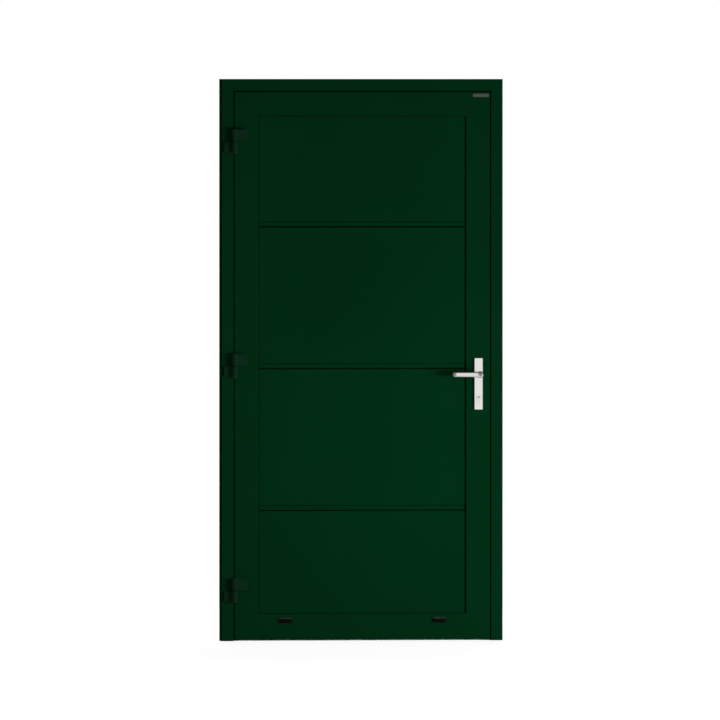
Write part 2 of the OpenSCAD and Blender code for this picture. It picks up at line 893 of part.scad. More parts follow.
// Slot with round ends, lying along X
module drain_slot(x, r, y0, y1) {
    half = drain_slot_w / 2 - drain_slot_r;
    slab_y(y0, y1) translate([x, drain_z]) {
        square([2 * half, 2 * r], center = true);
        for (s = [-1, 1]) translate([s * half, 0]) circle(r = r);
    }
}

// Hooded cap, open below, with round lower corners and a spigot in the drain slot
module drain_cap(x) {
    color(black) {
        difference() {
            intersection() {
                bar_x(x - drain_w / 2, x + drain_w / 2) drain_hood(0);
                translate([x, 0, drain_z + drain_round]) slab_y(front_y - drain_out, front_y)
                    round_rect(drain_w, drain_h + 2 * drain_round, drain_round);
            }
            bar_x(x - drain_w / 2 + drain_wall, x + drain_w / 2 - drain_wall) drain_hood(drain_wall);
        }
        drain_slot(x, drain_slot_r - fit, front_y - drain_wall, front_y + drain_plug);
    }
}

// Side view of the hood, drawn in by a wall and open below where the wall isn't zero
module drain_hood(wall) {
    top = drain_z + drain_h / 2 - wall;
    low = drain_z - drain_h / 2 - (wall > 0 ? over : 0);
    out = front_y - drain_out + wall;
    back = front_y - wall;
    polygon([
        [back, low], [back, top], [back - drain_lip + wall, top],
        [out, top - drain_lip], [out, top - 2 * drain_lip], [out + drain_lip, low]
    ]);
}

module left_drain_cap() { drain_cap(-drain_x); }
module right_drain_cap() { drain_cap(drain_x); }

// HANDLE

plate_z0 = lock_z - plate_below;
plate_z1 = lever_z + plate_above;
handle_bolt_zs = [lock_z - bolt_below, lever_z + bolt_above];

module handle_bolt_holes(y0, y1) {
    for (z = handle_bolt_zs) rod_y(spindle_x, z, bolt_r + fit, y0, y1);
}

// Round top and straight stem of the lock cylinder, widened by a margin
module cylinder_outline(margin) {
    w = stem_w + 2 * margin;
    translate([spindle_x, lock_z]) circle(r = barrel_r + margin);
    translate([spindle_x - w / 2, lock_z - stem_h - margin]) square([w, stem_h + margin]);
}

// Plate on the outer face with bevelled edges, before its holes
module plate_blank() {
    mid_z = (plate_z0 + plate_z1) / 2;
    h = plate_z1 - plate_z0;
    outer = front_y - plate_t;
    intersection() {
        translate([spindle_x, 0, mid_z]) slab_y(outer, front_y) round_rect(plate_w, h, plate_round);
        translate([spindle_x, 0, plate_z0 - over]) linear_extrude(h + 2 * over)
            polygon(bevelled(-plate_w / 2, plate_w / 2, outer, front_y));
        bar_x(spindle_x - plate_w, spindle_x + plate_w)
            polygon([for (p = bevelled(plate_z0, plate_z1, outer, front_y)) [p[1], p[0]]]);
    }
}

// Rectangle from a to b with both corners bevelled at the outer face
function bevelled(a, b, outer, inner) = [
    [a, inner], [a, outer + plate_bevel], [a + plate_bevel, outer],
    [b - plate_bevel, outer], [b, outer + plate_bevel], [b, inner]
];

module plate_bores() {
    rod_y(spindle_x, lever_z, neck_r + fit, front_y - plate_t - over, front_y + over);
    slab_y(front_y - plate_t - over, front_y + over) cylinder_outline(plate_cyl_room);
}

module outer_handle_plate() {
    color(steel) difference() {
        plate_blank();
        plate_bores();
        handle_bolt_holes(front_y - bolt_blind, front_y + over);
    }
}

module inner_handle_plate() {
    color(steel) difference() {
        mirror([0, 1, 0]) difference() {
            plate_blank();
            plate_bores();
        }
        handle_bolt_holes(back_y - over, back_y + plate_t + over);
        handle_bolt_places() screw_hole(head_t);
    }
}

module handle_bolt_places() {
    for (z = handle_bolt_zs) translate([spindle_x, back_y + plate_t, z]) rotate([-90, 0, 0]) children();
}

// Bolts from the inner plate through the stile into blind holes of the outer plate
module handle_plate_bolts() {
    color(steel) {
        handle_bolt_places() screw(head_t + over);
        for (z = handle_bolt_zs) {
            rod_y(spindle_x, z, bolt_r, front_y - bolt_blind + slip, back_y + plate_t - head_t);
        }
    }
}

// Lever: a neck in the plate, a leg in a round boss, a bend, the grip bar, a bend and a short return leg
module lever() {
    far_x = spindle_x - lever_len;
    bend_y = lever_y + bend_r;
    color(steel) difference() {
        union() {
            rod_y(spindle_x, lever_z, neck_r, neck_y, front_y - neck_tail);
            lever_boss();
            lever_leg(spindle_x);
            lever_leg(far_x);
            translate([spindle_x - bend_r, bend_y, lever_z]) rotate([0, 0, -90]) lever_bend();
            translate([far_x + bend_r, bend_y, lever_z]) rotate([0, 0, 180]) lever_bend();
            bar_x(far_x + bend_r, spindle_x - bend_r) translate([lever_y, lever_z]) lever_section();
        }
        spindle_hole(neck_y - spindle_end, front_y);
        rod_z(spindle_x, set_screw_y, set_screw_r + fit, lever_z - boss_r - over, lever_z);
    }
}

set_screw_y = neck_y + neck_gap / 2;

// Round boss between the plate and the bar, with a rounded front edge
module lever_boss() {
    foot_y = front_y - plate_t - boss_gap;
    length = foot_y - lever_y;
    translate([spindle_x, foot_y, lever_z]) rotate([90, 0, 0]) rotate_extrude() {
        square([boss_r - boss_round, length]);
        square([boss_r, length - boss_round]);
        translate([boss_r - boss_round, length - boss_round]) circle(r = boss_round);
    }
}

module lever_leg(x) {
    translate([x, 0, lever_z]) slab_y(lever_y + bend_r, neck_y) lever_section();
}

module lever_bend() {
    rotate_extrude(angle = 90) translate([bend_r, 0]) lever_section();
}

module lever_section() { round_rect(2 * lever_r, 2 * lever_r, lever_soft); }

module spindle_hole(y0, y1) {
    half = spindle_w / 2 + spindle_fit;
    block([spindle_x - half, y0, lever_z - half], [spindle_x + half, y1, lever_z + half]);
}

module outer_lever() { lever(); }
module inner_lever() { mirror([0, 1, 0]) lever(); }

module spindle() {
    half = spindle_w / 2;
    reach = spindle_end - slip - neck_y;
    color(zinc) block([spindle_x - half, -reach, lever_z - half],
                      [spindle_x + half, reach, lever_z + half]);
}

module lever_set_screws() {
    color(zinc) for (s = [-1, 1]) difference() {
        rod_z(spindle_x, s * set_screw_y, set_screw_r,
              lever_z - boss_r + slip, lever_z - spindle_w / 2 - slip);
        translate([spindle_x, s * set_screw_y, lever_z - boss_r])
            cylinder(r = set_screw_r / 2, h = socket_d, $fn = 6);
    }
}

// LOCK

// Case of two side plates and a rim, open at the faceplate
module lock_case() {
    half = case_t / 2;
    inner = half - case_wall;
    color(zinc) difference() {
        block([case_x0, -half, case_z0], [face_x0, half, case_z1]);
        block([case_x0 + case_wall, -inner, case_z0 + case_wall],
              [face_x0 + over, inner, case_z1 - case_wall]);
        rod_y(spindle_x, lever_z, hub_r + fit, -half - over, half + over);
        slab_y(-half - over, half + over) cylinder_outline(cyl_room);
    }
}

face_z0 = case_z0 - face_past;
face_z1 = case_z1 + face_past;

module faceplate_screw_places() {
    for (z = [face_z0 + face_screw_in, face_z1 - face_screw_in]) {
        translate([face_x1, 0, z]) rotate([0, 90, 0]) children();
    }
}

module cylinder_screw_place() {
    translate([face_x1, 0, lock_z - cyl_screw_drop]) rotate([0, 90, 0]) children();
}

module lock_faceplate() {
    half = bolt_t / 2 + slip;
    color(steel) difference() {
        translate([face_x0, 0, (face_z0 + face_z1) / 2]) rotate([90, 0, 90]) linear_extrude(face_t)
            round_rect(face_w, face_z1 - face_z0, face_w / 2 - slip);
        for (zs = [[lever_z + latch_low, lever_z + latch_high], [lock_z + bolt_low, lock_z + bolt_high]]) {
            block([face_x0 - over, -half, zs[0] - slip], [face_x1 + over, half, zs[1] + slip]);
        }
        faceplate_screw_places() screw_hole(face_t);
        cylinder_screw_place() screw_hole(face_t);
    }
}

module faceplate_screws() {
    color(zinc) faceplate_screw_places() screw(face_t + leaf_wall + screw_bite);
}

cyl_screw_len = backset + stem_w / 4;

module cylinder_screw() {
    color(zinc) cylinder_screw_place() screw(cyl_screw_len);
}

// Profile cylinder: two barrels and stems, joined by a bridge under the cam
module cylinder_body() {
    bridge_z = lock_z - cam_r - cam_room;
    color(nickel) difference() {
        slab_y(-barrel_y, barrel_y) cylinder_outline(0);
        rod_y(spindle_x, lock_z, plug_r + fit, -barrel_y - over, barrel_y + over);
        block([spindle_x - barrel_r - over, -cam_slot / 2, bridge_z],
              [spindle_x + barrel_r + over, cam_slot / 2, lock_z + barrel_r + over]);
        cylinder_screw_place() screw_hole(cyl_screw_len);
    }
}

// Plug of one side, with a level keyway in its face
module plug(y0, y1, key_y0, key_y1) {
    color(nickel) difference() {
        rod_y(spindle_x, lock_z, plug_r, y0, y1);
        block([spindle_x - key_w / 2, key_y0, lock_z - key_t / 2],
              [spindle_x + key_w / 2, key_y1, lock_z + key_t / 2]);
    }
}

module outer_plug() {
    plug(-barrel_y, -cam_slot / 2 + cam_side, -barrel_y - over, -barrel_y + key_d);
}

module inner_plug() {
    plug(cam_slot / 2, barrel_y, barrel_y - key_d, barrel_y + over);
}

// Cam on the inner end of the outer plug, with its nose hanging down
module cylinder_cam() {
    y0 = -cam_slot / 2 + cam_side;
    y1 = cam_slot / 2 - cam_side;
    color(nickel) {
        rod_y(spindle_x, lock_z, cam_hub_r, y0, y1);
        intersection() {
            rod_y(spindle_x, lock_z, cam_r, y0, y1);
            block([spindle_x - cam_w / 2, y0 - over, lock_z - cam_r - over],
                  [spindle_x + cam_w / 2, y1 + over, lock_z]);
        }
    }
}

// Hub on the spindle, with an arm that draws the latch back
module lock_follower() {
    half = bolt_t / 2;
    color(zinc) difference() {
        union() {
            rod_y(spindle_x, lever_z, hub_r, -case_t / 2, case_t / 2);
            block([spindle_x - arm_w / 2, -half, lever_z], [spindle_x + arm_w / 2, half, lever_z + arm_r]);
        }
        spindle_hole(-case_t, case_t);
    }
}

// Latch: a bevelled nose, a tail over the follower and a hook behind its arm
module latch_bolt() {
    half = bolt_t / 2;
    low = lever_z + latch_low;
    high = lever_z + latch_high;
    hook_x1 = spindle_x - arm_w / 2 - hook_gap;
    hook_x0 = hook_x1 - hook_t;
    block_x = latch_x1 - latch_block;
    color(steel) difference() {
        union() {
            block([block_x, -half, low], [latch_x1, half, high]);
            block([hook_x0, -half, lever_z + tail_low], [block_x + over, half, high]);
            block([hook_x0, -half, lever_z + hook_low], [hook_x1, half, lever_z + tail_low + over]);
        }
        translate([0, 0, low - over]) linear_extrude(high - low + 2 * over) polygon([
            [latch_x1 - nose_bevel, half + over], [latch_x1 - nose_bevel, half],
            [latch_x1, half - nose_bevel], [latch_x1 + over, half - nose_bevel],
            [latch_x1 + over, half + over]
        ]);
    }
}

// Dead bolt, drawn in, with its face level with the faceplate
module dead_bolt() {
    half = bolt_t / 2;
    color(steel) block([face_x1 - bolt_len, -half, lock_z + bolt_low], [face_x1, half, lock_z + bolt_high]);
}

module lower_hinge_frame_half() { hinge_frame_half(hinge_zs[0]); }
module middle_hinge_frame_half() { hinge_frame_half(hinge_zs[1]); }
module upper_hinge_frame_half() { hinge_frame_half(hinge_zs[2]); }
module lower_hinge_pin() { hinge_pin(hinge_zs[0]); }
module middle_hinge_pin() { hinge_pin(hinge_zs[1]); }
module upper_hinge_pin() { hinge_pin(hinge_zs[2]); }
module lower_hinge_leaf_half() { hinge_leaf_half(hinge_zs[0]); }
module middle_hinge_leaf_half() { hinge_leaf_half(hinge_zs[1]); }
module upper_hinge_leaf_half() { hinge_leaf_half(hinge_zs[2]); }

hinge_jamb();
lock_jamb();
frame_head();
frame_corner_cleats();
frame_seals();
strike_plate();
strike_screws();
lower_hinge_frame_half();
middle_hinge_frame_half();
upper_hinge_frame_half();
lower_hinge_pin();
middle_hinge_pin();
upper_hinge_pin();
hinge_frame_screws();
hinge_foot_caps();
hinge_stile();
lock_stile();
top_rail();
bottom_rail();
leaf_corner_cleats();
seal_carrier();
bottom_brush();
bottom_panel();
lower_panel();
upper_panel();
top_panel();
setting_blocks();
outer_gasket();
inner_gasket();
hinge_side_bead();
lock_side_bead();
top_bead();
bottom_bead();
lower_hinge_leaf_half();
middle_hinge_leaf_half();
upper_hinge_leaf_half();
hinge_bushes();
hinge_leaf_screws();
hinge_top_caps();
left_drain_cap();
right_drain_cap();
outer_handle_plate();
inner_handle_plate();
handle_plate_bolts();
lock_case();
lock_faceplate();
faceplate_screws();
cylinder_body();
cylinder_screw();
outer_lever();
inner_lever();
spindle();
lever_set_screws();
lock_follower();
latch_bolt();
dead_bolt();
outer_plug();
cylinder_cam();
inner_plug();
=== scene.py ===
"""Panel door in its frame, dressed for pictures: coats, metals, seals, a brush and a bare plate.

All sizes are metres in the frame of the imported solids: X to the lock side, Y into the building,
Z up from the floor.
"""

import json
import math

import bpy
import numpy as np
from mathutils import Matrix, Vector


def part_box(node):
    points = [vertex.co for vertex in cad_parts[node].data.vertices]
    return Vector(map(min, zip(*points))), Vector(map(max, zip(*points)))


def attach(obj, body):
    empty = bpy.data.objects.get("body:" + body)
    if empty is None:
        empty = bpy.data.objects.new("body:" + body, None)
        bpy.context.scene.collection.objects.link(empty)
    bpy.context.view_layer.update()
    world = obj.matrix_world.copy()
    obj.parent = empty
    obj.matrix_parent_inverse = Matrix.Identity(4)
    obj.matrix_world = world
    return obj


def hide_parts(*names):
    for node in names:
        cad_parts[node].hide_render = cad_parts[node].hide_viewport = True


# Bare plate in the top corner of the leaf, on the lock side
PLATE_WIDTH = 0.061
PLATE_HEIGHT = 0.0125
PLATE_THICKNESS = 0.0012
PLATE_CORNER = 0.0022
PLATE_CORNER_STEPS = 7
PLATE_EDGE = 0.0005
PLATE_EDGE_STEPS = 5
PLATE_FROM_SIDE = 0.0035
PLATE_FROM_TOP = 0.0068

# Brush under the leaf
BRISTLE_ROWS = 4
BRISTLE_PITCH = 0.0016
BRISTLE_RADIUS = 0.00042
BRISTLE_LEAN = 0.0006
BRISTLE_UNEVEN = 0.0007
BRISTLE_SIDES = 5
BRISTLE_RING_SHARES = (0.0, 0.55, 1.0)
BRISTLE_TAPER_SHARES = (1.0, 0.95, 0.45)
BRISTLE_SEED = 7
BACKING_HEIGHT = 0.0022

# Waves per metre of the patterns in the finishes
DRIFT_WAVES = (1.7, 1.7, 1.1)
SHEEN_WAVES = (35.0, 35.0, 35.0)
PEEL_WAVES = (700.0, 700.0, 700.0)
MOTTLE_WAVES = (160.0, 160.0, 160.0)
PIT_WAVES = (1500.0, 1500.0, 1500.0)
TONE_WAVES = (60.0, 60.0, 60.0)
UPRIGHT_GRAIN = (900.0, 900.0, 7.0)
LEVEL_GRAIN = (7.0, 900.0, 900.0)
PLATE_GRAIN = (9.0, 900.0, 900.0)
MILL_GRAIN = (500.0, 12.0, 500.0)

# Noise values between which a pattern goes from one end to the other
NOISE_LOW = 0.3
NOISE_HIGH = 0.7

# How far the roughness of a finish wanders, to the smooth and to the rough side
COAT_GIVE = (0.05, 0.06)
BRUSHED_GIVE = (0.07, 0.08)
PLATED_GIVE = (0.08, 0.08)
MOULDED_GIVE = (0.06, 0.06)

# How deep the lines of brushed metal and the pits of plated metal are
LINE_DEPTH = 0.00003
PIT_DEPTH = 0.00002

# Finishes that serve twice, plain and with a tone laid over them
BLACK_PLASTIC = {
    "deep": (0.0018, 0.0020, 0.0018),
    "pale": (0.0030, 0.0033, 0.0030),
    "roughness": 0.60,
    "specular": 0.03,
    "grain": 1100.0,
    "depth": 3e-5,
}
NICKEL = {"low": (0.72, 0.705, 0.68), "high": (0.80, 0.785, 0.76), "roughness": 0.26}

# Painted shade and painted highlight laid over a finish: painted shade in the panel joints and in
# the keyways, a painted highlight on the top of the drain caps
JOINT_SHADE_TONE = (0.0008, 0.0020, 0.0012)
KEYWAY_SHADE_TONE = (0.010, 0.010, 0.010)
CAP_TOP_HIGHLIGHT_TONE = (0.055, 0.052, 0.050)

# Depths under the face at which there is none of such a tone, and all of it
JOINT_DEPTHS = (0.0032, 0.0050)
KEYWAY_DEPTHS = (0.0005, 0.0015)
CAP_TOP_HIGHLIGHT_DEPTHS = (0.0034, 0.0026)

# Where the photograph was taken from, drawn back to a long lens
VIEW_AZIMUTH = math.radians(-8.0)
VIEW_ELEVATION = math.radians(0.7)
VIEW_DISTANCE = 80.0
DOOR_HEIGHT_IN_PIXELS = 561.7
DOOR_MIDDLE_PIXEL = (362.4, 359.9)
PICTURE_PIXELS = 720
SENSOR_WIDTH = 36.0
CLIP_NEAR = 1.0
CLIP_FAR = 400.0

# Light on the faces of the door as shares of what makes a white card white
KEY_SHARE = 0.88
FILL_SHARE = 0.12
REAR_SHARE = 0.70
AMBIENT = 0.18

# Angle from its axis at which a lamp's grid cuts it off
KEY_GRID = math.radians(40.0)
OPEN_LAMP = math.radians(90.0)

# What gloss sees of the room: white before and behind the door, dim to the sides and above
ROOM_SIDE = 0.20

# How far along Y a direction points where the room starts to brighten, and where it is white
ROOM_DIM = 0.75
ROOM_WHITE = 0.97

# The floor: its side, how far it lies under the door, its tone and its glow
FLOOR_SIZE = 60.0
FLOOR_DROP = 0.0004
FLOOR_TONE = 0.92
FLOOR_GLOW = 1.36

# How much of the floor's look is glow near the door and far away, and near it in gloss
FLOOR_GLOW_NEAR = 0.64
FLOOR_GLOW_FAR = 0.70
FLOOR_GLOSS_NEAR = 0.20

# Where the near floor ends and the far floor starts
FLOOR_NEAR = 2.0
FLOOR_FAR = 5.0


# Meshes


def mesh_piece(name, points, faces):
    """Object at the origin with its place in its mesh."""
    mesh = bpy.data.meshes.new(name)
    mesh.from_pydata(points.tolist(), [], faces)
    mesh.update()
    piece = bpy.data.objects.new(name, mesh)
    bpy.context.scene.collection.objects.link(piece)
    return piece


def ring_quads(rings, around):
    """Quads between neighbouring rings of points, each ring closed on itself."""
    ring, step = np.meshgrid(np.arange(rings - 1), np.arange(around), indexing="ij")
    here = ring * around + step
    along = ring * around + (step + 1) % around
    return np.stack([here, along, along + around, here + around], axis=-1).reshape(-1, 4)


def bare_plate(rail_lo, rail_hi):
    """Flat plate on the top rail, with round corners and a rolled edge.

    Each ring of the grid is the plate's outline, drawn in and lifted. The first two rings go
    straight up the edge. The others follow a quarter circle with the edge's radius: they are
    drawn in by the radius times one less the cosine of the angle round it, and lifted to the
    thickness less the radius, plus the radius times the sine.
    """
    corner_angle = np.linspace(0.0, np.pi / 2, PLATE_CORNER_STEPS)
    quarter = np.arange(4)[:, None] * np.pi / 2
    angle = (quarter + corner_angle).ravel()
    side = np.repeat(np.array([[1, 1], [-1, 1], [-1, -1], [1, -1]]), PLATE_CORNER_STEPS, axis=0)
    half = np.array([PLATE_WIDTH / 2, PLATE_HEIGHT / 2]) - PLATE_CORNER

    roll = np.linspace(0.0, np.pi / 2, PLATE_EDGE_STEPS)
    inset = np.concatenate([[0.0], PLATE_EDGE * (1 - np.cos(roll))])
    lift = np.concatenate([[0.0], PLATE_THICKNESS - PLATE_EDGE + PLATE_EDGE * np.sin(roll)])
    round_part = np.stack([np.cos(angle), np.sin(angle)], axis=-1)
    outline = side * half + (PLATE_CORNER - inset[:, None, None]) * round_part

    middle_x = rail_hi.x - PLATE_FROM_SIDE - PLATE_WIDTH / 2
    middle_z = rail_hi.z - PLATE_FROM_TOP - PLATE_HEIGHT / 2
    points = np.empty(outline.shape[:2] + (3,))
    points[..., 0] = middle_x + outline[..., 0]
    points[..., 1] = rail_lo.y - lift[:, None]
    points[..., 2] = middle_z + outline[..., 1]

    around = len(angle)
    faces = ring_quads(len(inset), around).tolist()
    last = (len(inset) - 1) * around
    faces.append(list(range(last, last + around)))
    faces.append(list(range(around - 1, -1, -1)))
    return mesh_piece("bare_plate", points.reshape(-1, 3), faces)


def brush_fringe(slot_lo, slot_hi):
    """Brush of short bristles that hang from a backing bar in the slot under the leaf.

    Bristle n is a tapered tube: its rings are circles about points on the straight line from a
    root in the bar to a tip near the floor, which leans and ends a little unevenly.
    """
    dice = np.random.default_rng(BRISTLE_SEED)
    columns = int((slot_hi.x - slot_lo.x) / BRISTLE_PITCH)
    margin = 2 * BRISTLE_RADIUS + BRISTLE_LEAN
    root_x, root_y = np.meshgrid(
        np.linspace(slot_lo.x + margin, slot_hi.x - margin, columns),
        np.linspace(slot_lo.y + margin, slot_hi.y - margin, BRISTLE_ROWS),
        indexing="ij",
    )
    root_x[:, 1::2] += BRISTLE_PITCH / 2 * np.sign(slot_hi.x - margin - root_x[:, 1::2])
    count = root_x.size
    lean = dice.uniform(-BRISTLE_LEAN, BRISTLE_LEAN, (count, 2))
    short = dice.uniform(0.0, BRISTLE_UNEVEN, count)

    share = np.array(BRISTLE_RING_SHARES)
    thickness = np.array(BRISTLE_TAPER_SHARES) * BRISTLE_RADIUS
    turn = np.arange(BRISTLE_SIDES) * 2 * np.pi / BRISTLE_SIDES
    root_z = slot_hi.z - BACKING_HEIGHT / 2
    axis_x = root_x.ravel()[:, None] + lean[:, :1] * share
    axis_y = root_y.ravel()[:, None] + lean[:, 1:] * share
    axis_z = root_z - (root_z - slot_lo.z - short[:, None]) * share
    points = np.empty((count, len(share), BRISTLE_SIDES, 3))
    points[..., 0] = axis_x[..., None] + thickness[:, None] * np.cos(turn)
    points[..., 1] = axis_y[..., None] + thickness[:, None] * np.sin(turn)
    points[..., 2] = axis_z[..., None]

    one = ring_quads(len(share), BRISTLE_SIDES)[:, ::-1]
    per = len(share) * BRISTLE_SIDES
    quads = (np.arange(count)[:, None, None] * per + one).reshape(-1, 4)
    tips = np.arange(count)[:, None] * per + (per - 1 - np.arange(BRISTLE_SIDES))

    bar_ends = np.meshgrid(
        [slot_lo.x, slot_hi.x],
        [slot_lo.y, slot_hi.y],
        [slot_hi.z - BACKING_HEIGHT, slot_hi.z],
        indexing="ij",
    )
    bar = np.stack(bar_ends, axis=-1).reshape(-1, 3)
    bar_quads = np.array(
        [[0, 1, 3, 2], [4, 6, 7, 5], [0, 4, 5, 1], [2, 3, 7, 6], [0, 2, 6, 4], [1, 5, 7, 3]]
    )
    all_points = np.concatenate([points.reshape(-1, 3), bar])
    faces = quads.tolist() + tips.tolist() + (bar_quads + count * per).tolist()
    return mesh_piece("brush_fringe", all_points, faces)


# Nodes


def reckoned(tree, operation, first, second=None):
    """Result of a Math node on one value, or on two, the second a socket or a number."""
    node = tree.nodes.new("ShaderNodeMath")
    node.operation = operation
    tree.links.new(first, node.inputs[0])
    if isinstance(second, float):
        node.inputs[1].default_value = second
    elif second is not None:
        tree.links.new(second, node.inputs[1])
    return node.outputs[0]


def one_axis(tree, vector, axis):
    """The part of a vector along X, Y or Z."""
    split = tree.nodes.new("ShaderNodeSeparateXYZ")
    tree.links.new(vector, split.inputs[0])
    return split.outputs[axis]


def spread(tree, value, low, high, start=NOISE_LOW, end=NOISE_HIGH):
    """Value carried over from the range start to end to the range low to high, and held there."""
    ramp = tree.nodes.new("ShaderNodeMapRange")
    ramp.inputs["From Min"].default_value = start
    ramp.inputs["From Max"].default_value = end
    ramp.inputs["To Min"].default_value = low
    ramp.inputs["To Max"].default_value = high
    tree.links.new(value, ramp.inputs["Value"])
    return ramp.outputs["Result"]


# Finishes


def new_finish(name, roughness, metallic, specular):
    """Material with one Principled shader, and the piece's own coordinates in metres."""
    finish = bpy.data.materials.new(name)
    finish.use_nodes = True
    tree = finish.node_tree
    shader = tree.nodes["Principled BSDF"]
    shader.inputs["Roughness"].default_value = roughness
    shader.inputs["Metallic"].default_value = metallic
    shader.inputs["Specular IOR Level"].default_value = specular
    place = tree.nodes.new("ShaderNodeTexCoord").outputs["Object"]
    return finish, tree, shader, place


def cloudy(tree, place, per_metre, detail):
    """Soft noise between 0 and 1, with so many waves per metre along each axis."""
    mapping = tree.nodes.new("ShaderNodeMapping")
    mapping.inputs["Scale"].default_value = per_metre
    tree.links.new(place, mapping.inputs["Vector"])
    noise = tree.nodes.new("ShaderNodeTexNoise")
    noise.inputs["Scale"].default_value = 1.0
    noise.inputs["Detail"].default_value = detail
    tree.links.new(mapping.outputs["Vector"], noise.inputs["Vector"])
    return noise.outputs[0]


def two_tone(tree, shader, noise, first, second):
    """Base colour that wanders from the first tone to the second."""
    mix = tree.nodes.new("ShaderNodeMix")
    mix.data_type = "RGBA"
    mix.inputs["A"].default_value = (*first, 1.0)
    mix.inputs["B"].default_value = (*second, 1.0)
    tree.links.new(spread(tree, noise, 0.0, 1.0), mix.inputs["Factor"])
    tree.links.new(mix.outputs["Result"], shader.inputs["Base Color"])


def uneven(tree, shader, noise, roughness, give):
    """Roughness that wanders to both sides of its middle."""
    smoother, rougher = give
    wander = spread(tree, noise, roughness - smoother, roughness + rougher)
    tree.links.new(wander, shader.inputs["Roughness"])


def relief(tree, shader, noise, depth):
    """Small unevenness of the surface, depth metres high."""
    bump = tree.nodes.new("ShaderNodeBump")
    bump.inputs["Distance"].default_value = depth
    tree.links.new(noise, bump.inputs["Height"])
    tree.links.new(bump.outputs["Normal"], shader.inputs["Normal"])


def coat(name, deep, pale, roughness, specular, peel):
    """Satin powder coat: a slow drift of tone, uneven gloss and a fine orange peel."""
    finish, tree, shader, place = new_finish(name, roughness, metallic=0.0, specular=specular)
    two_tone(tree, shader, cloudy(tree, place, DRIFT_WAVES, detail=2.0), deep, pale)
    uneven(tree, shader, cloudy(tree, place, SHEEN_WAVES, detail=4.0), roughness, COAT_GIVE)
    relief(tree, shader, cloudy(tree, place, PEEL_WAVES, detail=1.0), peel)
    return finish


def brushed(name, low, high, roughness, grain):
    """Brushed metal: fine lines along the axis in which grain counts few waves per metre."""
    finish, tree, shader, place = new_finish(name, roughness, metallic=1.0, specular=0.5)
    lines = cloudy(tree, place, grain, detail=5.0)
    two_tone(tree, shader, lines, low, high)
    uneven(tree, shader, lines, roughness, BRUSHED_GIVE)
    relief(tree, shader, lines, LINE_DEPTH)
    return finish


def plated(name, low, high, roughness):
    """Plated metal: pale mottling with a finely pitted surface."""
    finish, tree, shader, place = new_finish(name, roughness, metallic=1.0, specular=0.5)
    mottle = cloudy(tree, place, MOTTLE_WAVES, detail=4.0)
    two_tone(tree, shader, mottle, low, high)
    uneven(tree, shader, mottle, roughness, PLATED_GIVE)
    relief(tree, shader, cloudy(tree, place, PIT_WAVES, detail=2.0), PIT_DEPTH)
    return finish


def moulded(name, deep, pale, roughness, specular, grain, depth):
    """Moulded plastic or rubber: an even tone with a grained skin, grain waves to the metre."""
    finish, tree, shader, place = new_finish(name, roughness, metallic=0.0, specular=specular)
    two_tone(tree, shader, cloudy(tree, place, TONE_WAVES, detail=3.0), deep, pale)
    skin = cloudy(tree, place, (grain, grain, grain), detail=2.0)
    uneven(tree, shader, skin, roughness, MOULDED_GIVE)
    relief(tree, shader, skin, depth)
    return finish


def overlaid(finish, axis, middle, face, depths, tone):
    """Lays painted shade or a painted highlight over a finish, by depth under a face that lies so
    far from a middle.

    There is none of the tone at the first depth and all of it at the second.
    """
    tree = finish.node_tree
    shader = tree.nodes["Principled BSDF"]
    along = one_axis(tree, tree.nodes["Texture Coordinate"].outputs["Object"], axis)
    distance = reckoned(tree, "ABSOLUTE", reckoned(tree, "SUBTRACT", along, middle))
    mix = tree.nodes.new("ShaderNodeMix")
    mix.data_type = "RGBA"
    cover = spread(tree, distance, 0.0, 1.0, face - depths[0], face - depths[1])
    tree.links.new(cover, mix.inputs["Factor"])
    tree.links.new(shader.inputs["Base Color"].links[0].from_socket, mix.inputs["A"])
    mix.inputs["B"].default_value = (*tone, 1.0)
    tree.links.new(mix.outputs["Result"], shader.inputs["Base Color"])


def make_finishes():
    """One finish for each material slot of the record."""
    return {
        "green_coat": coat(
            "green_coat",
            deep=(0.0007, 0.0205, 0.0060),
            pale=(0.0009, 0.0240, 0.0071),
            roughness=0.70,
            specular=0.0,
            peel=4e-5,
        ),
        "panel_skin": coat(
            "panel_skin",
            deep=(0.0004, 0.0200, 0.0060),
            pale=(0.0006, 0.0240, 0.0072),
            roughness=0.66,
            specular=0.01,
            peel=3e-5,
        ),
        "hinge_coat": coat(
            "hinge_coat",
            deep=(0.0034, 0.0190, 0.0090),
            pale=(0.0044, 0.0220, 0.0110),
            roughness=0.55,
            specular=0.01,
            peel=4e-5,
        ),
        "hinge_cap": moulded(
            "hinge_cap",
            deep=(0.004, 0.012, 0.007),
            pale=(0.006, 0.015, 0.009),
            roughness=0.50,
            specular=0.04,
            grain=900.0,
            depth=2e-5,
        ),
        "zinc_steel": plated(
            "zinc_steel", low=(0.46, 0.47, 0.49), high=(0.62, 0.63, 0.65), roughness=0.38
        ),
        "stainless": brushed(
            "stainless",
            low=(0.74, 0.725, 0.705),
            high=(0.82, 0.805, 0.785),
            roughness=0.18,
            grain=UPRIGHT_GRAIN,
        ),
        "nickel_brass": plated("nickel_brass", **NICKEL),
        "black_plastic": moulded("black_plastic", **BLACK_PLASTIC),
        "black_rubber": moulded(
            "black_rubber",
            deep=(0.002, 0.002, 0.002),
            pale=(0.004, 0.004, 0.004),
            roughness=0.80,
            specular=0.02,
            grain=1600.0,
            depth=2e-5,
        ),
        "bristle": moulded(
            "bristle",
            deep=(0.010, 0.010, 0.011),
            pale=(0.020, 0.020, 0.021),
            roughness=0.55,
            specular=0.30,
            grain=900.0,
            depth=2e-5,
        ),
        "mill_aluminium": brushed(
            "mill_aluminium",
            low=(0.62, 0.63, 0.64),
            high=(0.74, 0.75, 0.76),
            roughness=0.40,
            grain=MILL_GRAIN,
        ),
    }


def dress(piece, finish):
    """Gives a piece or a solid one finish all over."""
    piece.data.materials.clear()
    piece.data.materials.append(finish)


def dress_each(solids, names, finish):
    """Gives the named solids one finish."""
    for name in names:
        dress(solids[name], finish)


# Stage, light and camera


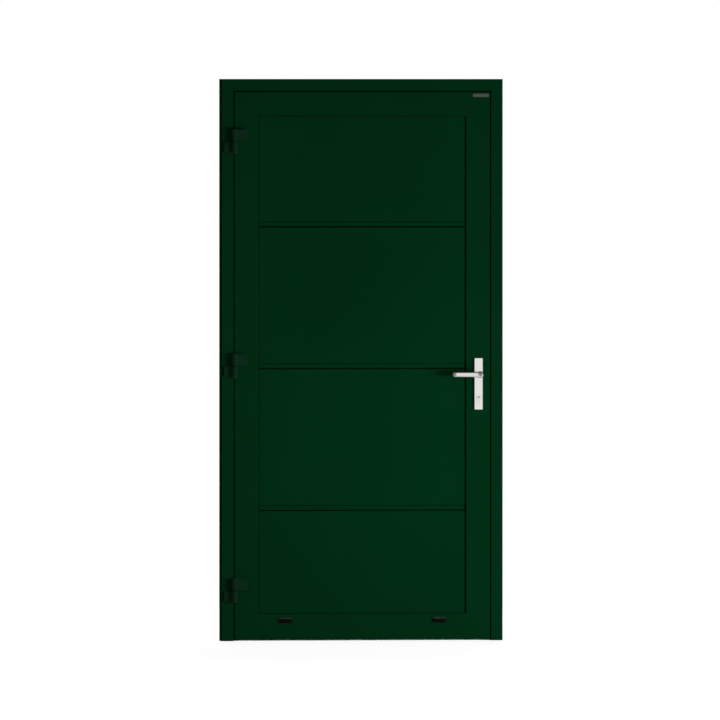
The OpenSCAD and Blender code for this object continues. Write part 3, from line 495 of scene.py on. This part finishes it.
def seen_in_gloss(tree):
    """1 for a ray that a mirror or a glass sends on, else 0."""
    path = tree.nodes.new("ShaderNodeLightPath").outputs
    return reckoned(tree, "MAXIMUM", path["Is Glossy Ray"], path["Is Transmission Ray"])


def seen_by_camera(tree):
    """1 for a ray straight from the camera, else 0."""
    return tree.nodes.new("ShaderNodeLightPath").outputs["Is Camera Ray"]


def straight_on(tree, way):
    """1 for a direction straight before or behind the door, 0 for one to the side or up."""
    along = reckoned(tree, "ABSOLUTE", one_axis(tree, way, "Y"))
    return spread(tree, along, 0.0, 1.0, ROOM_DIM, ROOM_WHITE)


def white_room():
    """World that looks white, lights low and evenly, and has dim sides where gloss reflects it."""
    world = bpy.data.worlds.new("white_room")
    bpy.context.scene.world = world
    world.use_nodes = True
    tree = world.node_tree
    background = tree.nodes["Background"]
    background.inputs["Color"].default_value = (1.0, 1.0, 1.0, 1.0)
    way = tree.nodes.new("ShaderNodeTexCoord").outputs["Generated"]
    room = spread(tree, straight_on(tree, way), ROOM_SIDE, 1.0, 0.0, 1.0)
    mirrored = reckoned(tree, "MULTIPLY", seen_in_gloss(tree), room)
    seen = reckoned(tree, "MAXIMUM", seen_by_camera(tree), mirrored)
    strength = reckoned(tree, "MAXIMUM", seen, AMBIENT)
    tree.links.new(strength, background.inputs["Strength"])


def floor_glow_share(tree):
    """How much of the floor's look is glow, to the camera and in gloss. It lights nothing else."""
    place = tree.nodes.new("ShaderNodeTexCoord").outputs["Object"]
    away = tree.nodes.new("ShaderNodeVectorMath")
    away.operation = "LENGTH"
    tree.links.new(place, away.inputs[0])
    far = spread(tree, away.outputs["Value"], 0.0, 1.0, FLOOR_NEAR, FLOOR_FAR)
    way = tree.nodes.new("ShaderNodeVectorMath")
    way.operation = "NORMALIZE"
    tree.links.new(place, way.inputs[0])
    white = reckoned(tree, "MULTIPLY", far, straight_on(tree, way.outputs["Vector"]))
    in_gloss = spread(tree, white, FLOOR_GLOSS_NEAR, FLOOR_GLOW_FAR, 0.0, 1.0)
    looked_at = spread(tree, far, FLOOR_GLOW_NEAR, FLOOR_GLOW_FAR, 0.0, 1.0)
    mirrored = reckoned(tree, "MULTIPLY", seen_in_gloss(tree), in_gloss)
    seen = reckoned(tree, "MULTIPLY", seen_by_camera(tree), looked_at)
    return reckoned(tree, "MAXIMUM", seen, mirrored)


def pale_floor():
    """Pale floor, one flat square, that looks almost white and keeps a faint shadow."""
    square = np.array([[-1, -1, 0], [1, -1, 0], [1, 1, 0], [-1, 1, 0]]) * FLOOR_SIZE / 2
    floor = mesh_piece("floor", square - np.array([0.0, 0.0, FLOOR_DROP]), [[0, 1, 2, 3]])
    finish = bpy.data.materials.new("pale_floor")
    finish.use_nodes = True
    tree = finish.node_tree
    tree.nodes.remove(tree.nodes["Principled BSDF"])
    matt = tree.nodes.new("ShaderNodeBsdfDiffuse")
    matt.inputs["Color"].default_value = (FLOOR_TONE, FLOOR_TONE, FLOOR_TONE, 1.0)
    glow = tree.nodes.new("ShaderNodeEmission")
    glow.inputs["Strength"].default_value = FLOOR_GLOW
    blend = tree.nodes.new("ShaderNodeMixShader")
    tree.links.new(floor_glow_share(tree), blend.inputs["Fac"])
    tree.links.new(matt.outputs["BSDF"], blend.inputs[1])
    tree.links.new(glow.outputs["Emission"], blend.inputs[2])
    tree.links.new(blend.outputs["Shader"], tree.nodes["Material Output"].inputs["Surface"])
    dress(floor, finish)


def softbox(name, place, aim, size, share, grid):
    """Flat lamp that gives a card at its aim, square to Y, the stated share of full white.

    A grid before the lamp dims it away from its axis, down to nothing at the grid's angle. Gloss
    and the camera don't see the lamp.
    """
    lamp = bpy.data.lights.new(name, "AREA")
    lamp.shape = "RECTANGLE"
    lamp.size, lamp.size_y = size
    lamp.spread = 2 * grid
    box = bpy.data.objects.new(name, lamp)
    way = aim - place
    box.location = place
    box.rotation_euler = way.to_track_quat("-Z", "Y").to_euler()
    box.visible_camera = False
    box.visible_glossy = False
    slant = abs(way.normalized().y)
    gathered = 1 - grid / math.tan(grid)
    lamp.energy = share * math.pi**2 * way.length_squared / slant * gathered
    bpy.context.scene.collection.objects.link(box)


def long_lens(front):
    """Camera that frames the door as the photograph does, from far away on the same side."""
    camera = bpy.data.cameras.new("camera")
    eye = bpy.data.objects.new("camera", camera)
    back = Vector(
        (
            math.sin(VIEW_AZIMUTH) * math.cos(VIEW_ELEVATION),
            -math.cos(VIEW_AZIMUTH) * math.cos(VIEW_ELEVATION),
            math.sin(VIEW_ELEVATION),
        )
    )
    turn = (-back).to_track_quat("-Z", "Y")
    lo, hi = front
    pixel = (hi.z - lo.z) * math.cos(VIEW_ELEVATION) / DOOR_HEIGHT_IN_PIXELS
    across = turn @ Vector((1, 0, 0)) * (DOOR_MIDDLE_PIXEL[0] - PICTURE_PIXELS / 2) * pixel
    down = turn @ Vector((0, -1, 0)) * (DOOR_MIDDLE_PIXEL[1] - PICTURE_PIXELS / 2) * pixel
    aim = Vector(((lo.x + hi.x) / 2, lo.y, (lo.z + hi.z) / 2)) - across - down
    eye.location = aim + back * VIEW_DISTANCE
    eye.rotation_mode = "QUATERNION"
    eye.rotation_quaternion = turn
    camera.sensor_width = SENSOR_WIDTH
    camera.lens = SENSOR_WIDTH * VIEW_DISTANCE / (PICTURE_PIXELS * pixel)
    camera.clip_start = CLIP_NEAR
    camera.clip_end = CLIP_FAR
    bpy.context.scene.collection.objects.link(eye)
    bpy.context.scene.camera = eye


# The door

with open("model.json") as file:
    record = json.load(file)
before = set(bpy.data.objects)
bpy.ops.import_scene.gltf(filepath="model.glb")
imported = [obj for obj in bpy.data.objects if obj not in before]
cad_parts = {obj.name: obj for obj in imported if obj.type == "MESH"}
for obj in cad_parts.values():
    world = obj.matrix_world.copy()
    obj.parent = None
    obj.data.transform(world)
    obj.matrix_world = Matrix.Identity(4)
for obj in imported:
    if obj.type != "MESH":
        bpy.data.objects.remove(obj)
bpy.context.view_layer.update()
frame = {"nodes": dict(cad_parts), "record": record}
solids = frame["nodes"]
finishes = make_finishes()
slot_of = {part["node"]: part["material_slot"] for part in frame["record"]["subparts"]}
for node, solid in solids.items():
    dress(solid, finishes[slot_of[node]])

lever_steel = brushed(
    "lever_steel",
    low=(0.66, 0.655, 0.65),
    high=(0.76, 0.755, 0.75),
    roughness=0.14,
    grain=LEVEL_GRAIN,
)
dress_each(solids, ("outer_lever", "inner_lever"), lever_steel)

# Painted shade: the panel skin turns darker deep in the panel joints, by depth under the face.
panel_lo, panel_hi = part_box("lower_panel")
panel_middle = (panel_lo.y + panel_hi.y) / 2
panel_face = (panel_hi.y - panel_lo.y) / 2
overlaid(finishes["panel_skin"], "Y", panel_middle, panel_face, JOINT_DEPTHS, JOINT_SHADE_TONE)

# Painted shade: the plugs' nickel turns dark deep in the keyway, by depth under the key face.
key_face = -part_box("outer_plug")[0].y
plug_nickel = plated("plug_nickel", **NICKEL)
overlaid(plug_nickel, "Y", 0.0, key_face, KEYWAY_DEPTHS, KEYWAY_SHADE_TONE)
dress_each(solids, ("outer_plug", "inner_plug"), plug_nickel)

# Painted highlight: the black plastic turns pale on the top lip of the drain caps.
cap_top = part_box("left_drain_cap")[1].z
top_highlight_black = moulded("top_highlight_black", **BLACK_PLASTIC)
overlaid(top_highlight_black, "Z", 0.0, cap_top, CAP_TOP_HIGHLIGHT_DEPTHS, CAP_TOP_HIGHLIGHT_TONE)
dress_each(solids, ("left_drain_cap", "right_drain_cap"), top_highlight_black)

# Painted shade: the hinge pins get a near-black metal so that the hinge splits stay dark.
shade_dark_pin = plated(
    "shade_dark_pin", low=(0.010, 0.010, 0.010), high=(0.022, 0.022, 0.022), roughness=0.45
)
dress_each(solids, ("lower_hinge_pin", "middle_hinge_pin", "upper_hinge_pin"), shade_dark_pin)

# Painted light: the hinge foot caps get a paler grey than the other hinge caps, for light from
# below on their ends.
painted_light_cap = moulded(
    "painted_light_cap",
    deep=(0.011, 0.012, 0.010),
    pale=(0.017, 0.018, 0.015),
    roughness=0.50,
    specular=0.10,
    grain=900.0,
    depth=2e-5,
)
dress(solids["hinge_foot_caps"], painted_light_cap)

dull_plate = brushed(
    "dull_plate",
    low=(0.085, 0.09, 0.087),
    high=(0.12, 0.125, 0.122),
    roughness=0.50,
    grain=PLATE_GRAIN,
)
plate = bare_plate(*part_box("top_rail"))
dress(plate, dull_plate)
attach(plate, "leaf")

brush = brush_fringe(*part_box("bottom_brush"))
dress(brush, finishes["bristle"])
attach(brush, "leaf")
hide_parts("bottom_brush")

jamb_lo, jamb_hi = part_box("hinge_jamb")
far_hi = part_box("lock_jamb")[1]
front_box = (jamb_lo, Vector((far_hi.x, far_hi.y, jamb_hi.z)))
door_middle = Vector((0.0, 0.0, (jamb_lo.z + jamb_hi.z) / 2))

bpy.context.scene.view_settings.view_transform = "Standard"
white_room()
pale_floor()
softbox(
    "key",
    place=Vector((3.8, -3.5, 0.55)),
    aim=Vector((0.0, 0.0, 0.6)),
    size=(2.4, 1.0),
    share=KEY_SHARE,
    grid=KEY_GRID,
)
softbox(
    "fill",
    place=Vector((-0.6, -6.0, 0.9)),
    aim=door_middle,
    size=(3.0, 1.6),
    share=FILL_SHARE,
    grid=OPEN_LAMP,
)
softbox(
    "rear",
    place=Vector((0.6, 4.0, 4.2)),
    aim=door_middle,
    size=(1.8, 1.8),
    share=REAR_SHARE,
    grid=OPEN_LAMP,
)
long_lens(front_box)
